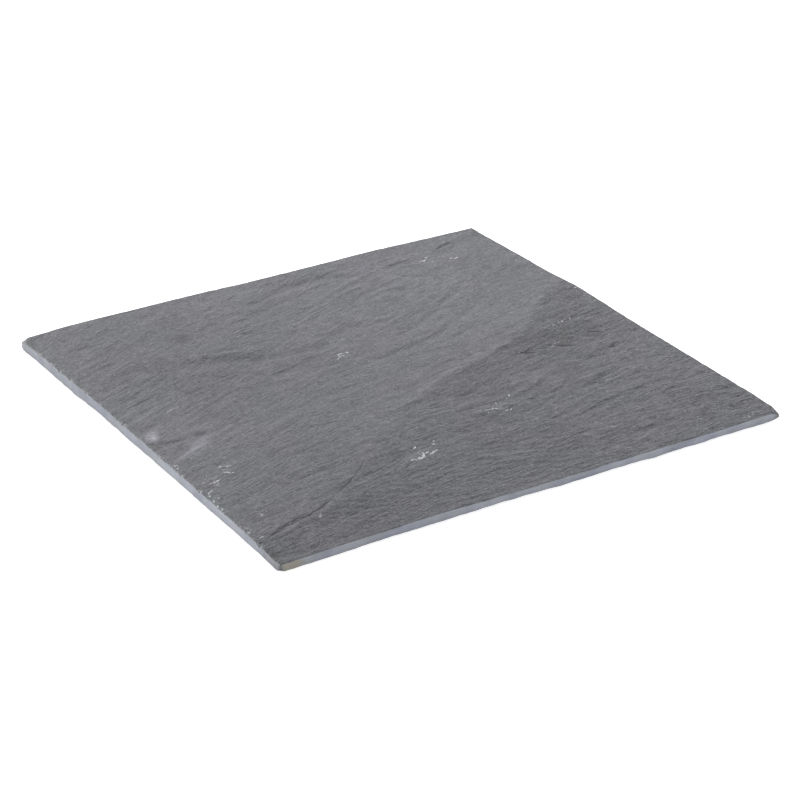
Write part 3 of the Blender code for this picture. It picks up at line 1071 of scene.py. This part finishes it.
def mineral_grain_group():
    """Fine crystals of the stone: a tone that lightens and darkens, and a height."""
    tree, given, result = new_group(
        "mineral_grain",
        (("Place", "Vector", None), ("Grains per mm", "Float", 1.0), ("Strength", "Float", 0.1)),
        (("Tone", "Float"), ("Height", "Float"), ("Sparkle", "Float")),
    )
    place = given.outputs["Place"]
    scale = given.outputs["Grains per mm"]
    fine = soft_noise(tree, place, scale, 3.0, 0.65)["Fac"]
    crystals = add(tree, "TexVoronoi", {"Vector": place, "Scale": scale})
    speck = add(tree, "SeparateColor", {0: crystals.outputs["Color"]}).outputs[0]
    mixed = maths(tree, "MULTIPLY", fine, 1.0 - CRYSTAL_SHARE)
    mixed = maths(tree, "ADD", mixed, maths(tree, "MULTIPLY", speck, CRYSTAL_SHARE))
    tone = add_share(tree, 1.0, swing(tree, mixed), given.outputs["Strength"])
    sparkle = ramp(tree, speck, 0.93, 0.99)
    tree.links.new(tone, result.inputs["Tone"])
    tree.links.new(mixed, result.inputs["Height"])
    tree.links.new(sparkle, result.inputs["Sparkle"])
    return tree


def tone_patches_group():
    """Slow changes across the stone: how warm it is, and how light."""
    tree, given, result = new_group(
        "tone_patches",
        (("Place", "Vector", None), ("Patch size", "Float", 40.0)),
        (("Warmth", "Float"), ("Lightness", "Float")),
    )
    scale = maths(tree, "DIVIDE", 1.0, given.outputs["Patch size"])
    broad = soft_noise(tree, given.outputs["Place"], scale, 3.0, 0.55)
    channels = add(tree, "SeparateColor", {0: broad["Color"]})
    tree.links.new(ramp(tree, channels.outputs[0], 0.38, 0.62), result.inputs["Warmth"])
    tree.links.new(ramp(tree, channels.outputs[1], 0.34, 0.66), result.inputs["Lightness"])
    return tree


def broken_stone_group():
    """Freshly broken slate: pale, with tiny stepped layers."""
    tree, given, result = new_group(
        "broken_stone",
        (("Place", "Vector", None), ("Dark", "Color", (0.1, 0.1, 0.1, 1.0)),
         ("Pale", "Color", (0.4, 0.4, 0.4, 1.0))),
        (("Color", "Color"), ("Height", "Float")),
    )
    layers = soft_noise(tree, given.outputs["Place"], 1.1, 4.0, 0.7)["Fac"]
    colour = blend(
        tree, ramp(tree, layers, 0.36, 0.66), given.outputs["Dark"], given.outputs["Pale"]
    )
    tree.links.new(colour, result.inputs["Color"])
    tree.links.new(layers, result.inputs["Height"])
    return tree


THIN_LAYER_LENGTH = 13.0  # mm along the grain between bends
THIN_LAYER_WIDTH = 3.6  # and across it
THIN_LAYER_WANDER = 3.2  # layers


def thin_layers_group():
    """Thin layers that end one behind the other: their stepped height, and the band along each step
    where painted shade goes.
    """
    tree, given, result = new_group(
        "thin_layers",
        (("Along", "Float", 0.0), ("Across", "Float", 0.0), ("Spacing", "Float", 2.4)),
        (("Height", "Float"), ("Step", "Float")),
    )
    along = maths(tree, "DIVIDE", given.outputs["Along"], THIN_LAYER_LENGTH)
    across = maths(tree, "DIVIDE", given.outputs["Across"], THIN_LAYER_WIDTH)
    place = add(tree, "CombineXYZ", {0: along, 1: across}).outputs[0]
    wandering = soft_noise(tree, place, 1.0, 3.0, 0.6)
    second = add(tree, "SeparateColor", {0: wandering["Color"]}).outputs[1]
    fading = ramp(tree, second, 0.42, 0.62)
    even = maths(tree, "DIVIDE", given.outputs["Across"], given.outputs["Spacing"])
    part = maths(tree, "FRACT", add_share(tree, even, wandering["Fac"], THIN_LAYER_WANDER))
    height = maths(tree, "SUBTRACT", ramp(tree, part, 0.76, 1.0), part)
    step = maths(tree, "MULTIPLY", ramp(tree, part, 0.70, 0.84), ramp(tree, part, 1.0, 0.90))
    tree.links.new(maths(tree, "MULTIPLY", height, fading), result.inputs["Height"])
    tree.links.new(maths(tree, "MULTIPLY", step, fading), result.inputs["Step"])
    return tree


DUST_SPECK_SHARE = 0.35


def settled_dust_group():
    """Pale dust in thin, uneven patches, with a few larger specks."""
    tree, given, result = new_group(
        "settled_dust",
        (("Place", "Vector", None), ("Amount", "Float", 0.1)),
        (("Cover", "Float"),),
    )
    place = given.outputs["Place"]
    film = ramp(tree, soft_noise(tree, place, 0.09, 4.0, 0.6)["Fac"], 0.45, 0.75)
    specks = add(tree, "TexVoronoi", {"Vector": place, "Scale": 0.55}).outputs[0]
    cover = add_share(tree, film, ramp(tree, specks, 0.12, 0.05), DUST_SPECK_SHARE)
    cover = maths(tree, "MULTIPLY", cover, given.outputs["Amount"], clamp=True)
    tree.links.new(cover, result.inputs["Cover"])
    return tree


def new_material(name, roughness, specular):
    """A material with its node tree and its shader."""
    material = bpy.data.materials.new(name)
    material.use_nodes = True
    tree = material.node_tree
    shader = tree.nodes["Principled BSDF"]
    shader.inputs["Roughness"].default_value = roughness
    shader.inputs["Specular IOR Level"].default_value = specular
    return material, tree, shader


def millimetres(tree):
    """The object's own coordinates, in millimetres."""
    place = add(tree, "TexCoord").outputs["Object"]
    return add(tree, "VectorMath", {0: place, "Scale": 1.0 / MM}, operation="SCALE").outputs[0]


def grain_place(tree, along_mm, across_mm):
    """Coordinates stretched along the grain, one unit for each length and width of a feature."""
    along = maths(tree, "DIVIDE", stored(tree, "grain_along"), along_mm)
    across = maths(tree, "DIVIDE", stored(tree, "grain_across"), across_mm)
    return add(tree, "CombineXYZ", {0: along, 1: across}).outputs[0]


def line_mask(tree, offset, width, ragged):
    """1 on a thin line whose distance and half width are stored on the mesh."""
    away = maths(tree, "ABSOLUTE", maths(tree, "ADD", offset, ragged))
    share = maths(tree, "DIVIDE", away, maths(tree, "ADD", width, 0.02))
    return maths(tree, "MULTIPLY", ramp(tree, share, 1.15, 0.55), ramp(tree, width, 0.03, 0.15))


COOL_SLATE = (0.121, 0.126, 0.139, 1.0)
WARM_SLATE = (0.1265, 0.1243, 0.142, 1.0)
CRACK_SHADE_COLOUR = (0.035, 0.034, 0.038, 1.0)
QUARTZ = (0.62, 0.64, 0.64, 1.0)
BROKEN_DARK = (0.105, 0.108, 0.118, 1.0)
BROKEN_PALE = (0.38, 0.39, 0.41, 1.0)
SAWN_GREY = (0.224, 0.239, 0.293, 1.0)
SAWN_PALE = (0.311, 0.327, 0.375, 1.0)
SAWN_WARM = (0.280, 0.290, 0.318, 1.0)
OCHRE = (0.255, 0.232, 0.160, 1.0)
DUST = (0.42, 0.42, 0.41, 1.0)
RUBBER_BLACK = (0.024, 0.024, 0.026, 1.0)
RUBBER_DUST = (0.16, 0.16, 0.155, 1.0)
GLUE_DARK = (0.50, 0.49, 0.45, 1.0)
GLUE_PALE = (0.62, 0.61, 0.57, 1.0)

# Features of the riven slate: length along the grain and width across it, in mm
SCALES = (11.0, 1.9)
FINE_SCALES = (3.6, 0.95)
QUARTZ_SPECKS = (1.8, 0.65)
THIN_SPACING = 2.3

# How much each feature lightens or darkens the riven slate, as its own tone or as painted light and
# shade
SCALE_LIGHT_AND_SHADE = 0.50
THIN_STEP_SHADE = -0.14
CREST_LIGHT_AND_SHADE = 0.13
PATCH_TONE = 0.10
ROUGH_SIDE_TONE = -0.12

# How much rougher or glossier
SCALE_ROUGH = 0.22
SPARKLE_GLOSS = -0.18
QUARTZ_GLOSS = -0.12

# How high each one stands in its bump, and how deep the bump is in mm
SMOOTH_SIDE_SCALES = 0.65  # of the scales' height, where the rough side has 1
SCALE_RISE = 0.85
FINE_SCALE_RISE = 0.40
THIN_LAYER_RISE = 0.32
GRAIN_RISE = 0.42
CRACK_RISE = -0.9
RIVEN_BUMP = 0.67

# The same for the sawn slate and the rubber
SAWN_WARM_SHARE = 0.6
SAW_TONE = 0.22
SAWN_LAYER_TONE = 0.46
FOOT_SHADE = -0.16
SAWN_GRAIN_RISE = 0.35
SAWN_BUMP = 0.05
RUBBER_BUMP = 0.04

# How far the borders of lines and flecks wander, and how thickly specks gather in their zones
LINE_WANDER = 1.6  # mm
FLECK_WANDER = 1.5
SPECKS_GATHER = 0.285

# How much of the stone's own colour each mark hides
CRACK_SHADE_COVER = 0.75
QUARTZ_COVER = 0.85
STAIN_COVER = 0.68


def show_broken(tree, groups, place, colour, start):
    """Lays broken stone over a colour where the mesh says that the stone is broken."""
    broken = use_group(
        tree, groups["broken_stone"], {"Place": place, "Dark": BROKEN_DARK, "Pale": BROKEN_PALE}
    )
    ragged = add_share(tree, stored(tree, "broken"), broken["Height"], 0.5)
    share = ramp(tree, ragged, start, start + 0.5)
    return blend(tree, share, colour, broken["Color"]), broken["Height"], share


def quartz_mask(tree, place, ragged):
    """1 on the white veins, flecks and specks."""
    vein = line_mask(tree, stored(tree, "vein_offset"), stored(tree, "vein_width"), ragged)
    blotches = soft_noise(tree, place, 0.9, 3.0, 0.7)["Fac"]
    vein = maths(tree, "MULTIPLY", vein, ramp(tree, blotches, 0.42, 0.56))
    fleck = add_share(tree, stored(tree, "fleck"), swing(tree, blotches), FLECK_WANDER)
    fleck = ramp(tree, fleck, 0.5, 0.72)
    specks = soft_noise(tree, grain_place(tree, *QUARTZ_SPECKS), 1.0, 2.0, 0.6)["Fac"]
    specks = add_share(tree, specks, stored(tree, "speckled"), SPECKS_GATHER)
    fleck = maths(tree, "MAXIMUM", fleck, ramp(tree, specks, 0.86, 0.93))
    return maths(tree, "MAXIMUM", vein, fleck)


def riven_slate(groups):
    material, tree, shader = new_material("riven_slate", roughness=0.6, specular=0.42)
    place = millimetres(tree)
    patches = use_group(tree, groups["tone_patches"], {"Place": place, "Patch size": 46.0})
    grain = use_group(
        tree, groups["mineral_grain"], {"Place": place, "Grains per mm": 0.95, "Strength": 1.5}
    )

    # Colour
    warmth = maths(tree, "ADD", patches["Warmth"], stored(tree, "warm_patch"), clamp=True)
    colour = blend(tree, warmth, COOL_SLATE, WARM_SLATE)
    scales = soft_noise(tree, grain_place(tree, *SCALES), 1.0, 4.0, 0.62)["Fac"]
    fine_scales = soft_noise(tree, grain_place(tree, *FINE_SCALES), 1.0, 3.0, 0.6)["Fac"]
    thin = use_group(
        tree, groups["thin_layers"],
        {"Along": stored(tree, "grain_along"), "Across": stored(tree, "grain_across"),
         "Spacing": THIN_SPACING},
    )
    rough_side = stored(tree, "rough_side")
    # Painted light on the raised scales and painted shade between them
    tone = add_share(tree, grain["Tone"], swing(tree, scales), SCALE_LIGHT_AND_SHADE)
    # Painted shade along the steps of the thin layers
    tone = add_share(tree, tone, thin["Step"], THIN_STEP_SHADE)
    # Painted light on the raised parts and painted shade in the hollows
    tone = add_share(tree, tone, stored(tree, "crest"), CREST_LIGHT_AND_SHADE)
    # Patches of tone, with painted shade in hollows, at corners and before the layer's edge
    tone = maths(tree, "ADD", tone, stored(tree, "tone_and_painted_shade"))
    tone = add_share(tree, tone, swing(tree, patches["Lightness"]), PATCH_TONE)
    tone = add_share(tree, tone, rough_side, ROUGH_SIDE_TONE)
    colour = toned(tree, colour, tone)
    dust = use_group(tree, groups["settled_dust"], {"Place": place, "Amount": 0.07})
    colour = blend(tree, dust["Cover"], colour, DUST)

    # Broken edges, painted shade in the cracks, and quartz
    colour, broken_height, broken_share = show_broken(tree, groups, place, colour, 0.55)
    ragged = maths(tree, "MULTIPLY", swing(tree, fine_scales), LINE_WANDER)
    crack = line_mask(tree, stored(tree, "crack_offset"), stored(tree, "crack_width"), ragged)
    # Painted shade in the cracks: nearly black where the stone is split
    colour = blend(tree, maths(tree, "MULTIPLY", crack, CRACK_SHADE_COVER), colour, CRACK_SHADE_COLOUR)
    quartz = quartz_mask(tree, place, ragged)
    colour = blend(tree, maths(tree, "MULTIPLY", quartz, QUARTZ_COVER), colour, QUARTZ)
    tree.links.new(colour, shader.inputs["Base Color"])

    rough = add_share(tree, 0.6, swing(tree, fine_scales), SCALE_ROUGH)
    rough = add_share(tree, rough, grain["Sparkle"], SPARKLE_GLOSS)
    rough = maths(tree, "MULTIPLY_ADD", quartz, QUARTZ_GLOSS, rough, clamp=True)
    tree.links.new(rough, shader.inputs["Roughness"])

    # Relief too fine for the mesh
    strength = add_share(tree, SMOOTH_SIDE_SCALES, rough_side, 1.0 - SMOOTH_SIDE_SCALES)
    height = maths(tree, "MULTIPLY", scales, maths(tree, "MULTIPLY", strength, SCALE_RISE))
    height = add_share(tree, height, fine_scales, FINE_SCALE_RISE)
    height = add_share(tree, height, thin["Height"], THIN_LAYER_RISE)
    height = add_share(tree, height, grain["Height"], GRAIN_RISE)
    height = add_share(tree, height, crack, CRACK_RISE)
    height = add_share(tree, height, broken_height, broken_share)
    set_bump(tree, shader, height, RIVEN_BUMP)
    return material


def sawn_slate(groups):
    material, tree, shader = new_material("sawn_slate", roughness=0.5, specular=0.4)
    place = millimetres(tree)
    patches = use_group(tree, groups["tone_patches"], {"Place": place, "Patch size": 22.0})
    grain = use_group(
        tree, groups["mineral_grain"], {"Place": place, "Grains per mm": 1.6, "Strength": 0.34}
    )
    colour = blend(tree, patches["Lightness"], SAWN_GREY, SAWN_PALE)
    warmth = maths(tree, "MULTIPLY", patches["Warmth"], SAWN_WARM_SHARE)
    colour = blend(tree, warmth, colour, SAWN_WARM)

    # Lines that the saw left along the face, and the stone's own thin layers
    lengthwise = add(
        tree, "VectorMath", {0: place, 1: (0.02, 0.02, 3.2)}, operation="MULTIPLY"
    ).outputs[0]
    saw = soft_noise(tree, lengthwise, 1.0, 3.0, 0.6)["Fac"]
    layered = add(
        tree, "VectorMath", {0: place, 1: (0.09, 0.09, 0.9)}, operation="MULTIPLY"
    ).outputs[0]
    layers = soft_noise(tree, layered, 1.0, 3.0, 0.55)["Fac"]
    tone = add_share(tree, grain["Tone"], swing(tree, saw), SAW_TONE)
    tone = add_share(tree, tone, swing(tree, layers), SAWN_LAYER_TONE)
    # Patches of tone and painted shade, carried down from the border of the top
    tone = maths(tree, "ADD", tone, stored(tree, "tone_and_painted_shade"))
    # Painted shade, darker towards the foot of the sawn faces
    foot = ramp(tree, stored(tree, "down_face"), 0.5, 1.0)
    tone = add_share(tree, tone, foot, FOOT_SHADE)
    colour = toned(tree, colour, tone)

    # Ochre stain on the front face by the left corner
    axes = add(tree, "SeparateXYZ", {0: place})
    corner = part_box("slate_slab")[0]
    from_left = maths(tree, "SUBTRACT", axes.outputs[0], corner.x / MM)
    from_front = maths(tree, "SUBTRACT", axes.outputs[1], corner.y / MM)
    wavering = add_share(tree, from_left, layers, STAIN_WAVER)
    stain = ramp(tree, wavering, STAIN_GONE, STAIN_FULL)
    stain = maths(tree, "MULTIPLY", stain, ramp(tree, from_front, 1.2, 0.3))
    stain = maths(tree, "MULTIPLY", stain, ramp(tree, from_left, 0.8, 2.8))
    colour = blend(tree, maths(tree, "MULTIPLY", stain, STAIN_COVER), colour, OCHRE)

    colour, broken_height, broken_share = show_broken(tree, groups, place, colour, 0.6)
    dust = use_group(tree, groups["settled_dust"], {"Place": place, "Amount": 0.12})
    colour = blend(tree, dust["Cover"], colour, DUST)
    tree.links.new(colour, shader.inputs["Base Color"])
    tree.links.new(add_share(tree, 0.4, saw, 0.24), shader.inputs["Roughness"])
    height = add_share(tree, saw, grain["Height"], SAWN_GRAIN_RISE)
    height = add_share(tree, height, broken_height, broken_share)
    set_bump(tree, shader, height, SAWN_BUMP)
    return material


def pad_rubber(groups):
    material, tree, shader = new_material("pad_rubber", roughness=0.75, specular=0.35)
    place = millimetres(tree)
    grain = use_group(
        tree, groups["mineral_grain"], {"Place": place, "Grains per mm": 3.0, "Strength": 0.5}
    )
    dust = use_group(tree, groups["settled_dust"], {"Place": place, "Amount": 0.35})
    colour = toned(tree, RUBBER_BLACK, grain["Tone"])
    colour = blend(tree, dust["Cover"], colour, RUBBER_DUST)
    tree.links.new(colour, shader.inputs["Base Color"])
    rough = maths(tree, "MULTIPLY_ADD", dust["Cover"], 0.25, 0.68, clamp=True)
    tree.links.new(rough, shader.inputs["Roughness"])
    set_bump(tree, shader, grain["Height"], RUBBER_BUMP)
    return material


def glue_film(groups):
    material, tree, shader = new_material("glue_film", roughness=0.35, specular=0.5)
    place = millimetres(tree)
    patches = use_group(tree, groups["tone_patches"], {"Place": place, "Patch size": 3.0})
    colour = blend(tree, patches["Lightness"], GLUE_DARK, GLUE_PALE)
    dust = use_group(tree, groups["settled_dust"], {"Place": place, "Amount": 0.5})
    tree.links.new(blend(tree, dust["Cover"], colour, DUST), shader.inputs["Base Color"])
    tree.links.new(add_share(tree, 0.3, patches["Warmth"], 0.2), shader.inputs["Roughness"])
    return material


# ---- Floor, lights and camera --------------------------------------------------------------

FLOOR_SIZE = 12.0
FLOOR_WHITE = (0.8, 0.8, 0.8, 1.0)
FLOOR_GLOW = 0.82
SKY_COLOUR = (0.97, 0.985, 1.0, 1.0)
SKY_STRENGTH = 0.44

# Square lamps: bearing from +Y towards +X and height above the floor in degrees, distance and
# size in metres, and power in watts
Softbox = namedtuple("Softbox", "name azimuth elevation distance size power colour")
SOFTBOXES = (
    Softbox("key_softbox", -15.5, 29.0, 2.2, 0.9, 50.0, (1.0, 0.995, 0.985)),
    Softbox("back_softbox", 45.0, 26.0, 2.6, 1.4, 18.0, (1.0, 1.0, 1.0)),
)

# Angles in degrees, places in metres
CAMERA_AZIMUTH = -30.88
CAMERA_ELEVATION = 26.09
CAMERA_ROLL = -0.79
CAMERA_DISTANCE = 1.4139
CAMERA_LENS = 118.9  # mm
CAMERA_SENSOR = 36.0  # mm
CAMERA_AIM = (-7.13 * MM, -24.18 * MM, 2.6 * MM)


def build_floor():
    """A pale table that glows a little, so that the slab stands on clean white."""
    mesh = bpy.data.meshes.new("floor")
    shape = bmesh.new()
    bmesh.ops.create_grid(shape, x_segments=2, y_segments=2, size=FLOOR_SIZE / 2)
    shape.to_mesh(mesh)
    shape.free()
    floor = bpy.data.objects.new("floor", mesh)
    bpy.context.scene.collection.objects.link(floor)
    material = bpy.data.materials.new("pale_floor")
    material.use_nodes = True
    tree = material.node_tree
    shader = tree.nodes["Principled BSDF"]
    shader.inputs["Base Color"].default_value = FLOOR_WHITE
    shader.inputs["Roughness"].default_value = 0.9
    shader.inputs["Specular IOR Level"].default_value = 0.1
    shader.inputs["Emission Color"].default_value = (1.0, 1.0, 1.0, 1.0)
    shader.inputs["Emission Strength"].default_value = FLOOR_GLOW
    # Clear from below, so that the underside can be looked at
    clear = add(tree, "BsdfTransparent")
    side = add(tree, "NewGeometry").outputs["Backfacing"]
    both = add(tree, "MixShader", {0: side, 1: shader.outputs[0], 2: clear.outputs[0]})
    tree.links.new(both.outputs[0], tree.nodes["Material Output"].inputs["Surface"])
    mesh.materials.append(material)


def direction(azimuth, elevation):
    """The way from the slab to a place at this bearing from +Y and this height, in degrees."""
    a = math.radians(azimuth)
    e = math.radians(elevation)
    return Vector((math.sin(a) * math.cos(e), math.cos(a) * math.cos(e), math.sin(e)))


def add_softbox(softbox):
    light = bpy.data.lights.new(softbox.name, "AREA")
    light.shape = "SQUARE"
    light.size = softbox.size
    light.energy = softbox.power
    light.color = softbox.colour
    lamp = bpy.data.objects.new(softbox.name, light)
    bpy.context.scene.collection.objects.link(lamp)
    lamp.location = direction(softbox.azimuth, softbox.elevation) * softbox.distance
    lamp.rotation_euler = lamp.location.to_track_quat("Z", "Y").to_euler()


def build_lights():
    world = bpy.data.worlds.new("studio")
    bpy.context.scene.world = world
    world.use_nodes = True
    sky = world.node_tree.nodes["Background"]
    sky.inputs["Color"].default_value = SKY_COLOUR
    sky.inputs["Strength"].default_value = SKY_STRENGTH
    for softbox in SOFTBOXES:
        add_softbox(softbox)


def build_camera():
    data = bpy.data.cameras.new("camera")
    data.lens = CAMERA_LENS
    data.sensor_width = CAMERA_SENSOR
    data.dof.use_dof = False
    camera = bpy.data.objects.new("camera", data)
    bpy.context.scene.collection.objects.link(camera)
    a = math.radians(CAMERA_AZIMUTH)
    e = math.radians(CAMERA_ELEVATION)
    back = Vector((math.sin(a) * math.cos(e), -math.cos(a) * math.cos(e), math.sin(e)))
    level_right = Vector((math.cos(a), math.sin(a), 0.0))
    level_up = back.cross(level_right)
    roll = math.radians(CAMERA_ROLL)
    right = math.cos(roll) * level_right + math.sin(roll) * level_up
    up = math.cos(roll) * level_up - math.sin(roll) * level_right
    turn = Matrix((right, up, back)).transposed().to_4x4()
    camera.matrix_world = Matrix.Translation(Vector(CAMERA_AIM) + back * CAMERA_DISTANCE) @ turn
    bpy.context.scene.camera = camera


def main():
    groups = {
        "mineral_grain": mineral_grain_group(),
        "tone_patches": tone_patches_group(),
        "broken_stone": broken_stone_group(),
        "thin_layers": thin_layers_group(),
        "settled_dust": settled_dust_group(),
    }
    slab = build_stone()
    slab.data.materials.append(riven_slate(groups))
    slab.data.materials.append(sawn_slate(groups))
    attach(slab, "root")
    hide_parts("slate_slab")
    build_pads(pad_rubber(groups), glue_film(groups))
    build_floor()
    build_lights()
    build_camera()
    bpy.context.scene.view_settings.view_transform = "Standard"


main()
